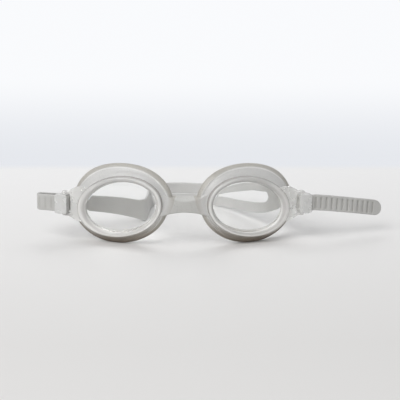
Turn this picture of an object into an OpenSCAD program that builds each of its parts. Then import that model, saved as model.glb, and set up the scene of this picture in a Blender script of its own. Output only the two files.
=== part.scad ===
// Swimming goggles: a one-piece silicone frame with two eye cups and a nose bridge,
// two clear lenses with temple lugs, swivelling strap clips on hinge pins, and a
// silicone head strap that is toothed at its ends and split in two behind the head.
// Millimetres, +Z up. The goggles rest on the lower lips of both cups and on the strap.

/* [Eye cups] */
// Distance between the centres of the two lenses
eye_spacing = 81.6; // [78:0.2:86]
// How far each lens turns back at the temple, in degrees
lens_yaw = 15; // [10:1:18]
// Half width of the sealing lip
lip_a = 31.5; // [30:0.25:33]
// Half height of the sealing lip
lip_b = 26; // [25:0.25:28]
// Depth of the cup from the front of the rim to the widest part of the lip
lip_depth = 9.9; // [9.5:0.1:12]
// Extra depth of the lip at the temple, and the depth it loses at the nose
lip_wrap = 2.2; // [0:0.1:2.5]
// How far the lip sits toward the temple
lip_shift = 1.5; // [0:0.1:2]
// Sideways lean of the lip, toward the nose above and the temple below, per height
lip_skew = 0.13; // [0:0.01:0.15]
// How much fuller the lip is above, between its top and its sides
lip_fullness = 0.15; // [0:0.01:0.2]
// How far the lip reaches out toward the nose, above the bridge
lip_nose = 2.8; // [0:0.1:3]
// How far in from its edge the lip has its ridge
ridge_inset = 2.2; // [1.8:0.1:2.6]
// Step down from the ridge to the flat of the lip
ridge_step = 0.6; // [0.2:0.1:0.8]
// Height of the flat where each lip rests, measured up from the round lip
rest_flat = 0.3; // [0.2:0.1:0.6]
// How far the pointed wing of the frame reaches past the rim at the temple
wing_reach = 3.4; // [1:0.1:4]

/* [Lenses] */
// Half width of the raised rim
rim_a = 27; // [26:0.25:28]
// Half height of the raised rim
rim_b = 19.75; // [18.5:0.25:20.5]
// Half width of the window inside the rim
window_a = 22.5; // [20:0.25:23]
// Half height of the window inside the rim
window_b = 16.5; // [14:0.25:17]
// How far the window sits toward the nose
window_shift = 1.2; // [0:0.1:1.5]
// Sideways lean of the lens, toward the nose above and the temple below, per height
lens_skew = 0.21; // [0.1:0.01:0.25]
// How far the rounded rim stands in front of its flat side
rim_rise = 1.8; // [1:0.1:2]
// Depth from the front of the rim to its flat back
rim_back = 3.4; // [3.2:0.1:4]
// Thickness of the window
window_t = 2.0; // [1.5:0.1:2.2]
// How far the middle of the window bulges forward of its edge
window_dome = 1.3; // [0.5:0.1:1.5]
// How far the skirt inside the frame stands in from the rim
skirt_inset = 1.8; // [1.5:0.1:2.2]
// Wall of the skirt
skirt_wall = 1.4; // [1.2:0.1:1.8]
// Length of the skirt behind the rim
skirt_length = 4.1; // [3:0.1:4.5]

/* [Nose bridge] */
// Height of the front face of the bridge
bridge_h = 7.6; // [5.5:0.1:8]
// Depth of the bridge
bridge_d = 6.5; // [5.5:0.1:7]
// How far the middle of the front face sits above the lens centres
bridge_lift = 1.5; // [0:0.1:2]
// How much the top of the bridge rises toward the face
bridge_slope = 1.9; // [1:0.1:3.5]
// How far the arch below the bridge drops toward the cups
bridge_arch = 3.2; // [1:0.1:4]
// How far the front of the bridge rises toward the cups
bridge_flare = 5.0; // [1:0.1:6]

/* [Temple hinges] */
// Distance from the lens centre to the hinge pin along the lens
hinge_u = 35.5; // [35:0.1:38]
// Depth of the hinge pin behind the front of the rim
hinge_w = 3.0; // [2.8:0.1:3.4]
// How far the hinge sits below the lens centre
hinge_drop = 0.2; // [0:0.1:2]
// Radius of the hinge pin
pin_r = 1.1; // [0.9:0.05:1.25]
// Radial clearance between the pin and what turns on it
pin_fit = 0.05; // [0.03:0.01:0.08]
// Half height of the lug where it leaves the rim
lug_half_h = 11.4; // [10.5:0.1:12.2]
// Thickness of the lug plate
lug_t = 1.5; // [1.2:0.1:1.5]
// Thickness of the ears that hold the pin
ear_t = 1.4; // [0.9:0.1:1.5]
// Thickness of the arms of the clip
arm_t = 0.9; // [0.7:0.05:1.2]
// Wall of the clip in front of and behind the strap
clip_wall = 1.1; // [0.9:0.1:1.3]
// Reach of the clip from the pin to its open end
clip_reach = 5.6; // [5.4:0.1:8]
// How much of the height of the clip is cut off at each corner of its open end
clip_corner = 0.7; // [0.3:0.1:0.8]
// Running gap between the clip, the ears and the strap edges
side_gap = 0.15; // [0.1:0.05:0.25]
// Gap between the strap and the walls of the clip
strap_gap = 0.25; // [0.2:0.05:0.4]

/* [Strap] */
// Height of the toothed ends of the strap
strap_h = 10.3; // [9.5:0.1:11]
// Thickness of the strap
strap_t = 1.8; // [1.5:0.1:2]
// Height of each of the two bands of the split part
band_h = 7; // [6:0.1:7]
// Gap between the two bands where they lie closest
slit_gap = 1.2; // [1:0.1:2]
// How far the strap reaches behind the hinge pins
loop_depth = 83.3; // [75:0.1:95]
// Length of the free end past the right clip's pin
tail_length = 57.5; // [50:0.5:66]
// How far the free end bends back over its length, in degrees
tail_bend = 12; // [6:1:40]
// How far the tip of the free end droops
tail_droop = 9; // [0:0.5:12]
// Straight length from the left pin to the fold
fold_reach = 15.2; // [13:0.1:18]
// How far the strap climbs from the left clip to the fold
fold_rise = 0.1; // [0:0.1:2]
// Radius of the fold to the middle of the strap
fold_r = 2.2; // [2:0.1:5]
// Turn of the fold, in degrees
fold_turn = 136; // [125:1:145]
// Length of the strap end behind the left pin
stub_length = 2.5; // [2:0.1:2.6]
// Distance from one tooth to the next
tooth_pitch = 3.8; // [3.4:0.1:4.4]
// Width of the groove between two teeth
groove_w = 1.6; // [1.2:0.1:2]
// Depth of the grooves
groove_d = 0.6; // [0.3:0.05:0.8]
// Height of the plain rail along each edge of the teeth
rail_h = 1.5; // [1:0.1:2]

/* [Hidden] */

SEG = 60;             // sides of each cup and lens ellipse
ROUND = 48;           // sides of pins, bores and knuckles
seat_gap = 0.1;       // between the lens skirt and the frame around it
end_gap = 0.3;        // between two strap pieces that move apart
edge_r = 0.8;         // rounding of the bridge edges
bridge_embed = 1.5;   // how far the ends of the bridge run into the cups, from the rim
bridge_proud = 0.4;   // how far the middle of the bridge stands in front of the cups
bridge_hollow = 1.6;  // how far its front falls back at the cups, and its back comes forward
lip_land = 0.7;       // depth of the band along the lip that the goggles rest on
no_floor = -100;      // a level far below everything, for lofts that have no flat foot
knuckle_wall = 1.3;   // material round the pin in the ears and in the clip
plate_gap = 0.6;      // from the lug plate to the strap round the pin
sleeve_gap = 1.0;     // from the strap round the pin to the walls of the clip
climb_run = 6;        // from the clip to where the strap has climbed to the fold
tail_lead = 2.2;      // straight length of the free end past the clip

eye_x = eye_spacing / 2;
eye_z = lip_b - rest_flat;
hinge_z = eye_z - hinge_drop;

// The lens: the crest of the rim, depths behind the front of the rim, and the skirt
rim_mid = (rim_a + window_a) / 2;
rim_mid_b = (rim_b + window_b) / 2;
window_step = 0.4;
window_w = rim_rise + window_step;
skirt_a = rim_a - skirt_inset;
skirt_b = rim_b - skirt_inset;
skirt_end = rim_back + skirt_length;

// The hinge pin in the plan of the whole, on the right side
hinge_x = eye_x + hinge_u * cos(lens_yaw) - hinge_w * sin(lens_yaw);
hinge_y = hinge_u * sin(lens_yaw) + hinge_w * cos(lens_yaw);

// The stack along the pin: strap, gap, clip arm, gap, ear
arm_z = strap_h / 2 + side_gap;
ear_z = arm_z + arm_t + side_gap;
ear_top = ear_z + ear_t;
ear_r = pin_r + knuckle_wall;
wrap_r = pin_r + seat_gap + strap_t / 2;
slot_half = strap_t / 2 + strap_gap;
plate_end = hinge_u - wrap_r - strap_t / 2 - plate_gap;

// The whole is moved so that the origin lies under the middle of its outline
left_edge = hinge_x + fold_reach * cos(lens_yaw) - (fold_r - wrap_r) * sin(lens_yaw)
    + fold_r + strap_t / 2;
tail_straight = clip_reach + tail_lead;
tail_arc_r = (tail_length - tail_straight) / tail_bend * 180 / PI;
tail_tip = tail_point(tail_length);
right_edge = tail_tip[0];
front_edge = -(norm([rim_mid, lens_skew * rim_mid_b]) + window_shift / 2) * sin(lens_yaw);
back_edge = hinge_y + loop_depth + strap_t / 2;
shift_x = (left_edge - right_edge) / 2;
shift_y = -(front_edge + back_edge) / 2;

// Direction of a heading in the plan, and the side of it that carries the teeth
function ahead(h) = [cos(h), sin(h)];
function right_of(h) = [sin(h), -cos(h)];

// Rings of an elliptic loft. A section is [half width, half height, depth, shift, wrap, wing,
// skew, fullness above, reach to the nose] with u to the temple, w back and v up.
function wing(t) = pow(max(0, cos(t)), 6);
function nose(t) = pow(max(0, -cos(t)), 4) * max(0, min(1, 0.5 + 2.5 * sin(t)));
function fuller(t) = max(0, sin(t)) * cos(t) * cos(t);
function loft_ring(s, floor_v) = [
    for (i = [0:SEG - 1]) let(t = 360 * i / SEG)
        [s[0] * cos(t) + s[3] + s[5] * wing(t) - s[6] * s[1] * sin(t) - s[8] * nose(t),
         s[2] + s[4] * cos(t), max(s[1] * (sin(t) + s[7] * fuller(t)), floor_v)]];

// Side faces between consecutive rings of n points, in triangles
function band_faces(first, second, n) = [
    for (i = [0:n - 1]) let(j = (i + 1) % n)
        each [[first * n + i, first * n + j, second * n + j],
              [first * n + i, second * n + j, second * n + i]]];

// A closed ring-shaped body: the last section joins the first
module loft_torus(sections, floor_v) {
    count = len(sections);
    polyhedron(
        points = [for (s = sections) each loft_ring(s, floor_v)],
        faces = [for (k = [0:count - 1]) each band_faces(k, (k + 1) % count, SEG)],
        convexity = 6);
}

// A closed cap-shaped body: the first and last sections close on their own middles
module loft_cap(sections, front_w, back_w, shift) {
    count = len(sections);
    front = count * SEG;
    back = front + 1;
    last = (count - 1) * SEG;
    polyhedron(
        points = concat(
            [for (s = sections) each loft_ring(s, no_floor)],
            [[shift, front_w, 0], [shift, back_w, 0]]),
        faces = concat(
            [for (k = [0:count - 2]) each band_faces(k, k + 1, SEG)],
            [for (i = [0:SEG - 1]) [front, (i + 1) % SEG, i]],
            [for (i = [0:SEG - 1]) [back, last + i, last + (i + 1) % SEG]]),
        convexity = 6);
}

// The plan of the right eye, and the same for the left by a mirror
module at_right_eye() {
    translate([shift_x + eye_x, shift_y, eye_z]) rotate([0, 0, lens_yaw]) children();
}

module at_left_eye() {
    translate([shift_x, 0, 0]) mirror([1, 0, 0]) translate([-shift_x, 0, 0])
        at_right_eye() children();
}

module at_eye(side) {
    if (side > 0) at_right_eye() children();
    if (side < 0) at_left_eye() children();
}

// The middle of the hinge pin, in the plan of one eye
module at_hinge() {
    translate([hinge_u, hinge_w, -hinge_drop]) children();
}

// The plan of the whole before the move to its origin
module in_plan() {
    translate([shift_x, shift_y, 0]) children();
}

// Section of the cup from its front edge, out over the lip and back inside
function cup_sections() = let(
    front = rim_back + seat_gap,
    seat_a = skirt_a + seat_gap,
    seat_b = skirt_b + seat_gap,
    pocket = skirt_end + seat_gap + 0.3,
    run = lip_depth - front,
    ridge_back = 0.62,
    lean = function(share) lens_skew + share * (lip_skew - lens_skew),
    wall = function(part, back, share, wing) [
        rim_a + part * (lip_a - ridge_inset - rim_a), rim_b + part * (lip_b - ridge_inset - rim_b),
        front + back * run, share * lip_shift, 0.75 * share * lip_wrap, wing, lean(share),
        share * lip_fullness, share * lip_nose],
    lip = function(inset_a, inset_b, back) [
        lip_a - inset_a, lip_b - inset_b, lip_depth + back, lip_shift, lip_wrap, 0, lip_skew,
        lip_fullness, lip_nose]) [
    [seat_a, seat_b, front, 0, 0, 0, lens_skew, 0, 0],
    [rim_a - 0.4, rim_b - 0.35, front, 0, 0, wing_reach, lens_skew, 0, 0],
    wall(0.2, 0.17, 0.1, wing_reach),
    wall(0.6, 0.42, 0.5, wing_reach / 2),
    wall(1, ridge_back, 0.9, wing_reach / 4),
    lip(ridge_inset - 0.3, ridge_inset - 0.3, (ridge_back - 1) * run + ridge_step),
    lip(0.5, 0.5, -0.9),
    lip(0, 0, 0),
    lip(0, 0, lip_land),
    lip(0.5, 0.6, lip_land + 0.6),
    lip(1.6, 1.7, lip_land + 1.0),
    lip(3.0, 3.1, lip_land + 0.6),
    [lip_a - 4.0, lip_b - 4.3, lip_depth, 0.9 * lip_shift, 0.7 * lip_wrap, 0, lean(0.8),
     0.8 * lip_fullness, 0.9 * lip_nose],
    [seat_a + 0.5, seat_b + 1.6, pocket + 0.5, 0.3 * lip_shift, 0.1 * lip_wrap, 0, lean(0.2),
     0.2 * lip_fullness, 0.2 * lip_nose],
    [seat_a, seat_b, pocket, 0, 0, 0, lens_skew, 0, 0]];

module cup() {
    loft_torus(cup_sections(), -eye_z);
}

// One section of the bridge at k, from -1 at the left cup to 1 at the right cup
function bridge_ring(k) = let(
    grow = k * k,
    face = -rim_a * sin(lens_yaw) + (rim_back + seat_gap) * cos(lens_yaw),
    front = face - bridge_proud + bridge_hollow * grow,
    back = face - bridge_proud + bridge_d - bridge_hollow * grow,
    mid = eye_z + bridge_lift,
    low = mid - bridge_h / 2 - bridge_arch * grow,
    high = mid + bridge_h / 2 + bridge_flare * grow,
    high_back = mid + bridge_h / 2 + bridge_slope + grow,
    low_back = low + bridge_slope,
    reach = eye_x - (rim_a - bridge_embed) * cos(lens_yaw) - (rim_back + seat_gap) * sin(lens_yaw),
    outline = [
        [front, low + edge_r], [front + edge_r, low],
        [back - edge_r, low_back], [back, low_back + edge_r],
        [back, high_back - edge_r], [back - edge_r, high_back],
        [front + edge_r, high], [front, high - edge_r]])
    [for (p = outline) [k * (reach - (p[0] - face) * tan(lens_yaw)), p[0], p[1]]];

module bridge() {
    half = [0.2, 0.4, 0.55, 0.7, 0.85, 1];
    stations = concat([for (k = [5:-1:0]) half[k]], [0], [for (k = half) -k]);
    count = len(stations);
    sides = len(bridge_ring(0));
    last = (count - 1) * sides;
    polyhedron(
        points = [for (k = stations) each bridge_ring(k)],
        faces = concat(
            [for (k = [0:count - 2]) each band_faces(k, k + 1, sides)],
            [[for (i = [sides - 1:-1:0]) i]],
            [[for (i = [0:sides - 1]) last + i]]),
        convexity = 4);
}

module silicone_frame() {
    color([0.80, 0.80, 0.78]) union() {
        at_right_eye() cup();
        at_left_eye() cup();
        in_plan() bridge();
    }
}

// Sections of the lens: out over the domed window, round the rim, down the skirt and back
function lens_sections() = let(
    s = -window_shift,
    half_a = (rim_a - window_a) / 2,
    half_b = (rim_b - window_b) / 2,
    back_a = skirt_a - skirt_wall,
    back_b = skirt_b - skirt_wall,
    back_w = window_w + window_t,
    ring = function(a, b, w, shift) [a, b, w, shift, 0, 0, lens_skew, 0, 0])
    concat(
        [for (k = [0.35, 0.7, 0.97])
            ring(k * window_a, k * window_b, window_w - window_dome * (1 - k * k), s)],
        [for (turn = [0:30:180])
            ring(rim_mid - half_a * cos(turn), rim_mid_b - half_b * cos(turn),
                 rim_rise * (1 - sin(turn)), s * (1 + cos(turn)) / 2)],
        [ring(rim_a, rim_b, rim_back, 0),
         ring(skirt_a, skirt_b, rim_back, 0),
         ring(skirt_a, skirt_b, skirt_end, 0),
         ring(back_a, back_b, skirt_end, 0),
         ring(back_a, back_b, back_w, 0)],
        [for (k = [0.75, 0.38])
            ring(k * back_a, k * back_b, back_w - window_dome * (1 - k * k), s)]);

module lens_shell() {
    loft_cap(
        lens_sections(), window_w - window_dome,
        window_w + window_t - window_dome, -window_shift);
}

// The lug that carries the pin: a plate from the rim, and an ear above and below the strap
module lug() {
    root = 0.79 * rim_a;
    lean = lens_skew * lug_half_h;
    neck = (rim_a + hinge_u) / 2 - 3;
    far = hinge_u - 1.5;
    taper = 0.4;
    low = -lug_half_h - hinge_drop / 2;
    high = lug_half_h - hinge_drop / 2;
    ear_root = 5;
    ear_neck = 2 * ear_r - 1.2;
    ear_tip_r = ear_r - 0.7;
    rotate([90, 0, 0]) translate([0, 0, -rim_back]) linear_extrude(lug_t)
        polygon([
            [root + lean, low + taper], [neck, low],
            [far, -ear_top - hinge_drop], [far, -ear_z - hinge_drop],
            [plate_end, -ear_z - hinge_drop], [plate_end, ear_z - hinge_drop],
            [far, ear_z - hinge_drop], [far, ear_top - hinge_drop],
            [neck, high], [root - lean, high - taper]]);
    for (side = [0, 1])
        at_hinge() mirror([0, 0, side]) {
            translate([0, 0, ear_z]) cylinder(h = ear_t, r1 = ear_r, r2 = ear_tip_r, $fn = ROUND);
            translate([-ear_root / 2, 0, ear_z + ear_t / 2])
                cube([ear_root, ear_neck, ear_t], center = true);
        }
}

module lens(side) {
    color([0.88, 0.90, 0.90, 0.45]) at_eye(side) difference() {
        union() {
            lens_shell();
            lug();
        }
        at_hinge() cylinder(h = 4 * ear_top, r = pin_r + pin_fit, center = true, $fn = ROUND);
    }
}

module left_lens() {
    lens(-1);
}

module right_lens() {
    lens(1);
}

module hinge_pin(side) {
    color([0.82, 0.83, 0.83]) at_eye(side) at_hinge()
        cylinder(h = 2 * ear_top, r = pin_r, center = true, $fn = ROUND);
}

module left_hinge_pin() {
    hinge_pin(-1);
}

module right_hinge_pin() {
    hinge_pin(1);
}

// The clip: two arms on the pin, joined by a wall in front of and behind the strap
module clip_body() {
    sleeve = wrap_r + sleeve_gap;
    for (end = [-1, 1])
        translate([0, 0, end * (arm_z + arm_t / 2)]) {
            cylinder(h = arm_t, r = ear_r, center = true, $fn = ROUND);
            translate([clip_reach / 2, -wrap_r, 0])
                cube([clip_reach, 2 * (slot_half + clip_wall), arm_t], center = true);
        }
    for (face = [-1, 1])
        translate([(sleeve + clip_reach) / 2, -wrap_r + face * (slot_half + clip_wall / 2), 0])
            cube([clip_reach - sleeve, clip_wall, 2 * (arm_z + arm_t)], center = true);
}

// Outline of the clip from the front, its height falling off toward the open end
module clip_outline() {
    start = -2 * ear_r;
    half_h = arm_z + arm_t;
    full_to = clip_reach - 3 * clip_corner;
    end_h = half_h - clip_corner;
    polygon([
        [start, -half_h], [full_to, -half_h], [clip_reach, -end_h],
        [clip_reach, end_h], [full_to, half_h], [start, half_h]]);
}

module clip(side) {
    depth = 8 * ear_r;
    color([0.90, 0.91, 0.91, 0.5]) at_eye(side) at_hinge() difference() {
        intersection() {
            clip_body();
            rotate([90, 0, 0]) linear_extrude(depth, center = true) clip_outline();
        }
        cylinder(h = 4 * ear_top, r = pin_r + pin_fit, center = true, $fn = ROUND);
    }
}

module left_clip() {
    clip(-1);
}

module right_clip() {
    clip(1);
}

// A strap section is [x, y, heading, low, high, groove depth]. Teeth lie on the right hand
// of the heading, from the left end of the strap round the loop to the right end.
function strap_ring(s) = let(
    p = [s[0], s[1]],
    out = right_of(s[2]) * strap_t / 2,
    cut = right_of(s[2]) * (strap_t / 2 - s[5]),
    rail = min(rail_h, (s[4] - s[3]) / 3),
    ramp = rail * 0.8,
    lift = function(q, z) [p[0] + q[0], p[1] + q[1], z]) [
    lift(out, s[3]), lift(out, s[3] + ramp), lift(cut, s[3] + rail),
    lift(cut, s[4] - rail), lift(out, s[4] - ramp), lift(out, s[4]),
    lift(-out, s[4]), lift(-out, s[3])];

module strap(stations) {
    count = len(stations);
    sides = 8;
    last = (count - 1) * sides;
    in_plan() polyhedron(
        points = [for (s = stations) each strap_ring(s)],
        faces = concat(
            [for (k = [0:count - 2]) each band_faces(k, k + 1, sides)],
            [[for (i = [sides - 1:-1:0]) i]],
            [[for (i = [sides - 1:2 * sides - 2]) last + i % sides]]),
        convexity = 8);
}

// Places along a toothed stretch with the groove depth at each: [distance, depth]
function tooth_steps(from, count) = [
    for (i = [0:count - 1]) let(a = from + i * tooth_pitch)
        each [[a, 0], [a + 0.3, groove_d], [a + groove_w - 0.3, groove_d], [a + groove_w, 0]]];

// The free end: straight through the clip, then bending back along an arc
function tail_heading(s) = lens_yaw + max(0, s - tail_straight) / tail_arc_r * 180 / PI;
function tail_point(s) = let(
    start = [hinge_x, hinge_y] + wrap_r * right_of(lens_yaw),
    bend = start + tail_straight * ahead(lens_yaw),
    centre = bend - tail_arc_r * right_of(lens_yaw),
    turned = tail_heading(s))
    s <= tail_straight ? start + s * ahead(lens_yaw) : centre + tail_arc_r * right_of(turned);
function tail_centre(s) = let(k = max(0, s - tail_straight) / (tail_length - tail_straight))
    hinge_z - tail_droop * pow(k, 1.2);
function tail_half(s) = let(k = max(0, s - (tail_length - strap_h / 2)) / (strap_h / 2))
    strap_h / 2 * sqrt(max(0.02, 1 - k * k));
function tail_station(s, depth) = let(p = tail_point(s), z = tail_centre(s), h = tail_half(s))
    [p[0], p[1], tail_heading(s), z - h, z + h, depth];

module right_tail() {
    tip = tail_length - strap_h / 2;
    teeth = floor((tip - tail_straight) / tooth_pitch);
    steps = concat(
        [[end_gap, 0], [tail_straight, 0]],
        tooth_steps(tip - teeth * tooth_pitch + 1, teeth),
        [for (k = [0.25, 0.5, 0.7, 0.85, 0.95, 1]) [tip + k * strap_h / 2, 0]]);
    color([0.68, 0.69, 0.68]) strap([for (s = steps) tail_station(s[0], s[1])]);
}

// The left end: stub behind the pin, a quarter turn round it, the front leg and the fold
left_out = 180 - lens_yaw;
left_pin = [-hinge_x, hinge_y];
front_leg_start = left_pin - wrap_r * right_of(left_out);
fold_start = front_leg_start + fold_reach * ahead(left_out);
fold_centre = fold_start + fold_r * right_of(left_out);
fold_heading = left_out - fold_turn;
fold_end = fold_centre - fold_r * right_of(fold_heading);

// A plain station at a place and heading, its middle a given height above the pin's
function plain_station(p, h, rise, depth) = let(z = hinge_z + rise)
    [p[0], p[1], h, z - strap_h / 2, z + strap_h / 2, depth];
function turn_station(centre, r, h, side, rise) =
    plain_station(centre - side * r * right_of(h), h, rise, 0);
function leg_rise(s) = let(k = min(1, max(0, s - clip_reach) / climb_run))
    fold_rise * k * k * (3 - 2 * k);

module left_strap_fold() {
    stub_heading = left_out + 90;
    stub = left_pin - wrap_r * right_of(stub_heading) - stub_length * ahead(stub_heading);
    teeth = floor((fold_reach - clip_reach - 0.1) / tooth_pitch);
    color([0.68, 0.69, 0.68]) strap(concat(
        [plain_station(stub, stub_heading, 0, 0)],
        [for (h = [stub_heading:-15:left_out]) turn_station(left_pin, wrap_r, h, 1, 0)],
        [plain_station(front_leg_start + clip_reach * ahead(left_out), left_out, 0, 0)],
        [for (s = tooth_steps(fold_reach - teeth * tooth_pitch, teeth))
            plain_station(front_leg_start + s[0] * ahead(left_out), left_out, leg_rise(s[0]), s[1])],
        [for (k = [0:12]) turn_station(fold_centre, fold_r, left_out - k / 12 * fold_turn, 1, fold_rise)]));
}

// Route of the strap round the head, chosen by hand. Each point is its place across as a
// share of the pin's, its place back as a share of the loop depth, the lift of its lower
// edge as a share of the height at the pins, and the whole height of the strap there.
split_h = 2 * band_h + slit_gap;
LEFT_PART = [
    [-0.96, 0.20, 0.79, strap_h],
    [-0.775, 0.285, 0.643, strap_h],
    [-0.62, 0.36, 0.48, 0.8 * strap_h + 0.2 * split_h],
    [-0.48, 0.42, 0.31, 0.6 * strap_h + 0.4 * split_h],
    [-0.385, 0.46, 0.16, 0.4 * strap_h + 0.6 * split_h]];
SPLIT_PART = [
    [-0.322, 0.505, 0, split_h + 1],
    [-0.307, 0.60, 0, split_h + 0.5],
    [-0.292, 0.73, 0, split_h],
    [-0.277, 0.85, 0, split_h],
    [-0.235, 0.95, 0, split_h],
    [-0.14, 0.99, 0, split_h],
    [0.04, 1, 0, split_h + 0.1],
    [0.21, 0.972, 0.01, split_h + 0.4],
    [0.39, 0.868, 0.075, split_h + 2.4],
    [0.51, 0.718, 0.16, split_h + 4.6],
    [0.63, 0.50, 0.337, split_h + 6.8],
    [0.70, 0.373, 0.472, split_h + 6.2],
    [0.757, 0.293, 0.605, split_h + 4.6]];
RIGHT_PART = [
    [0.825, 0.228, 0.77, strap_h + 3],
    [0.904, 0.173, 0.90, strap_h],
    [0.952, 0.113, 0.97, strap_h]];
STEPS = 4;

function routed(r) = [
    r[0] * hinge_x, hinge_y + r[1] * loop_depth, r[2] * (hinge_z - strap_h / 2), r[3]];
inner_heading = lens_yaw - 90;
inner_run = 4.5;
inner_end = [hinge_x, hinge_y] + wrap_r * right_of(inner_heading);
route = concat(
    [[fold_end[0], fold_end[1], hinge_z + fold_rise - strap_h / 2, strap_h]],
    [for (r = concat(LEFT_PART, SPLIT_PART, RIGHT_PART)) routed(r)],
    [[each inner_end - inner_run * ahead(inner_heading), hinge_z - strap_h / 2, strap_h],
     [each inner_end, hinge_z - strap_h / 2, strap_h]]);
split_from = 1 + len(LEFT_PART);
split_to = split_from + len(SPLIT_PART) - 1;

// A smooth curve through the route: position q counts its points, whole and in between
function near(i) = route[max(0, min(len(route) - 1, i))];
function route_at(q) = let(
    i = min(floor(q), len(route) - 2),
    t = q - i,
    a = near(i - 1),
    b = near(i),
    c = near(i + 1),
    d = near(i + 2))
    (2 * b + (c - a) * t + (2 * a - 5 * b + 4 * c - d) * t * t + (3 * b - a - 3 * c + d) * t * t * t) / 2;
function route_heading(q) = let(
    a = route_at(max(0, q - 0.02)),
    b = route_at(min(len(route) - 1, q + 0.02)))
    atan2(b[1] - a[1], b[0] - a[0]);
function whole_station(q) = let(r = route_at(q), low = max(0, r[2]))
    [r[0], r[1], route_heading(q), low, low + r[3], 0];
function lower_station(q) = let(r = route_at(q), low = max(0, r[2]))
    [r[0], r[1], route_heading(q), low, low + band_h, 0];
function upper_station(q) = let(r = route_at(q), high = max(0, r[2]) + r[3])
    [r[0], r[1], route_heading(q), high - band_h, high, 0];

module head_strap() {
    first = 0.04;
    step = 0.01;
    color([0.68, 0.69, 0.68]) strap(concat(
        [whole_station(first)],
        [for (q = [1 / STEPS:1 / STEPS:split_from]) whole_station(q)],
        [for (q = [split_from:1 / STEPS:split_to]) lower_station(q + step * (q < split_to ? 1 : -1))],
        [for (q = [split_to:1 / STEPS:len(route) - 1]) whole_station(q)],
        [for (h = [inner_heading + 15:15:lens_yaw])
            turn_station([hinge_x, hinge_y], wrap_r, h, -1, 0)]));
}

module upper_band() {
    trim = 0.07;
    color([0.70, 0.71, 0.70]) strap(concat(
        [upper_station(split_from + trim)],
        [for (q = [split_from + 1 / STEPS:1 / STEPS:split_to - 1 / STEPS]) upper_station(q)],
        [upper_station(split_to - trim)]));
}

silicone_frame();
left_lens();
right_lens();
left_hinge_pin();
right_hinge_pin();
left_clip();
right_clip();
left_strap_fold();
head_strap();
upper_band();
right_tail();
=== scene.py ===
# %% [markdown]
# # Swimming goggles
# A pair of clear swimming goggles is a small lesson in soft and clear plastics. A see-through
# silicone frame holds two lenses, a clip turns on a pin at each temple, and one toothed strap, split
# behind the head, runs through both clips. The solids that move are already made, and get their real
# surfaces here.

# %% Load the frame
import math

import bmesh
import bpy
import numpy as np
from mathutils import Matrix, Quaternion, Vector


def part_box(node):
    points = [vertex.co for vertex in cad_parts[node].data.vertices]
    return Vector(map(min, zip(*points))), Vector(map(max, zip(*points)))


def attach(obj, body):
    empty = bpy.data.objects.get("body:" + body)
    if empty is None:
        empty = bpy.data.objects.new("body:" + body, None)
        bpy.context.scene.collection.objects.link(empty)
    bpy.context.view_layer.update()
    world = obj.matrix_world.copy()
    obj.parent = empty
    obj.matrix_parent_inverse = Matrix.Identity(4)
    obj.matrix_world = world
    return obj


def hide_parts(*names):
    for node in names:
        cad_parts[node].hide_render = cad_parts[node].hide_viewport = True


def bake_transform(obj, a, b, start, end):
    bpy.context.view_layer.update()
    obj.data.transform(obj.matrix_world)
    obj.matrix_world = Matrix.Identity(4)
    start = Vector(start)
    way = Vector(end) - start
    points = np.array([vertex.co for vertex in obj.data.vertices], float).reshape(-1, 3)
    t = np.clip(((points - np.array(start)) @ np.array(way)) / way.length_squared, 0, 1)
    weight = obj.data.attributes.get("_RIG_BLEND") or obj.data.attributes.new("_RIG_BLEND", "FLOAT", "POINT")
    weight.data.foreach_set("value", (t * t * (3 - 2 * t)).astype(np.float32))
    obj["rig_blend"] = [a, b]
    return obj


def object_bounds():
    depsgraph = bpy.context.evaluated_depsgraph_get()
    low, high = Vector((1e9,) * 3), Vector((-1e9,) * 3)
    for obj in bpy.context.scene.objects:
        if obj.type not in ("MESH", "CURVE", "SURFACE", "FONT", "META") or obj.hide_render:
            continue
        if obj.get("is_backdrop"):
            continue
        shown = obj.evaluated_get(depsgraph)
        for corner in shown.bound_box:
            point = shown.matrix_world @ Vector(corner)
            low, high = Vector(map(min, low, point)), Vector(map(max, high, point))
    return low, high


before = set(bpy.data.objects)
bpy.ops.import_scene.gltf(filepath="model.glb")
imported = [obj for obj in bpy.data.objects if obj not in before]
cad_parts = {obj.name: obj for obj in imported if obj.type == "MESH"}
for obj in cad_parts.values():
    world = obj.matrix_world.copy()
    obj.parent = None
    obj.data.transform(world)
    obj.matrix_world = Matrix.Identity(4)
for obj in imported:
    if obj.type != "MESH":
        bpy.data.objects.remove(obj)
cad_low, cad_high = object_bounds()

# %% [markdown]
# ## Sizes
# Goggles are drawn in plan: x is across, y runs toward the back of the head. A lens has its own
# directions: u runs to the temple, w back from the front of the rim, v up. Every size could be read
# off the solids, but a moulder's drawing gives radii and walls, so the same few sizes that drive the
# solid model stand here, and every surface lands where its solid is.

# %% Driving sizes, in millimetres
MM = 0.001
eye_spacing = 81.6
lens_yaw = math.radians(15)
lip_a, lip_b, lip_depth = 31.5, 26.0, 9.9
lip_wrap, lip_shift, lip_skew, lip_land = 2.2, 1.5, 0.13, 0.7
lip_fullness, lip_nose, ridge_inset, ridge_step = 0.15, 2.8, 2.2, 0.6
rest_flat = 0.3
wing_reach = 3.4
rim_a, rim_b = 27.0, 19.75
window_a, window_b, window_shift = 22.5, 16.5, 1.2
lens_skew = 0.21
rim_rise, rim_back = 1.8, 3.4
window_t, window_dome, window_step = 2.0, 1.3, 0.4
skirt_inset, skirt_wall, skirt_length = 1.8, 1.4, 4.1
bridge_h, bridge_d, bridge_lift, bridge_slope = 7.6, 6.5, 1.5, 1.9
bridge_arch, bridge_flare, bridge_proud, bridge_hollow = 3.2, 5.0, 0.4, 1.6
hinge_u, hinge_w, hinge_drop = 35.5, 3.0, 0.2
pin_r, pin_fit, knuckle_wall = 1.1, 0.05, 1.3
lug_half_h, lug_t, ear_t = 11.4, 1.5, 1.4
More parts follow.
